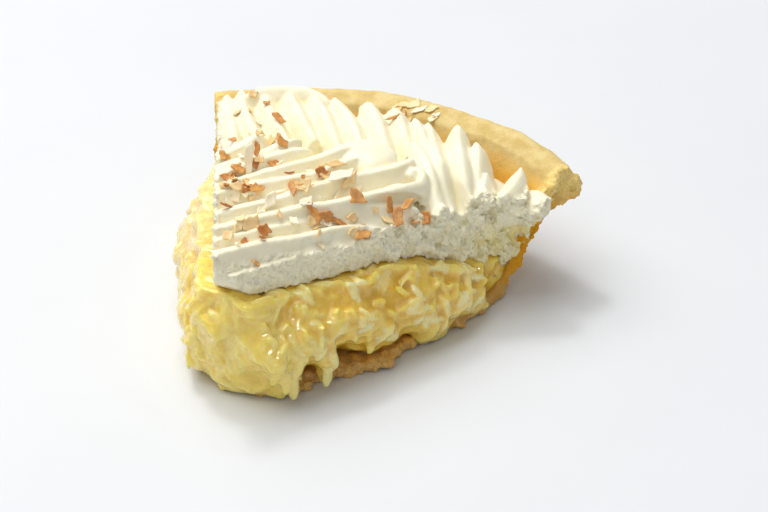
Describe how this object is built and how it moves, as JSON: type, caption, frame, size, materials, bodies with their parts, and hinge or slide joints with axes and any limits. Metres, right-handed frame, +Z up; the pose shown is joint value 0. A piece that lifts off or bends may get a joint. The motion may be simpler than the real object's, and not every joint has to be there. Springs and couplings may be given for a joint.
{
  "type": "slice of coconut cream pie",
  "caption": "Wedge of cream pie: baked shortcrust shell with a rolled rim, slumped coconut custard, star-piped whipped cream and toasted coconut flakes.",
  "frame": {"origin": "centre of the slice's plan box, on the surface that it stands on", "axes": "+Z up; +Y from the pie's middle out to the rim, along the slice's bisector; +X to the right seen from the tip"},
  "size_m": [0.1198, 0.1155, 0.049],
  "materials": {
    "crust": "baked shortcrust pastry: dry, fine-grained and crumbly, pale at the rim and browner below",
    "custard": "soft wet egg custard with pale coconut shreds, glossy and slightly translucent",
    "cream": "whipped cream: satin on the piped ridges, spongy and dull where it is cut",
    "toasted_flake": "dry toasted coconut, brown, paler in the middle",
    "tan_flake": "dry lightly toasted coconut, tan",
    "pale_flake": "dry untoasted coconut, pale and slightly translucent"
  },
  "bodies": {
    "root": {"pie_crust": "crust", "coconut_custard": "custard", "whipped_cream": "cream"}
  },
  "joints": []
}
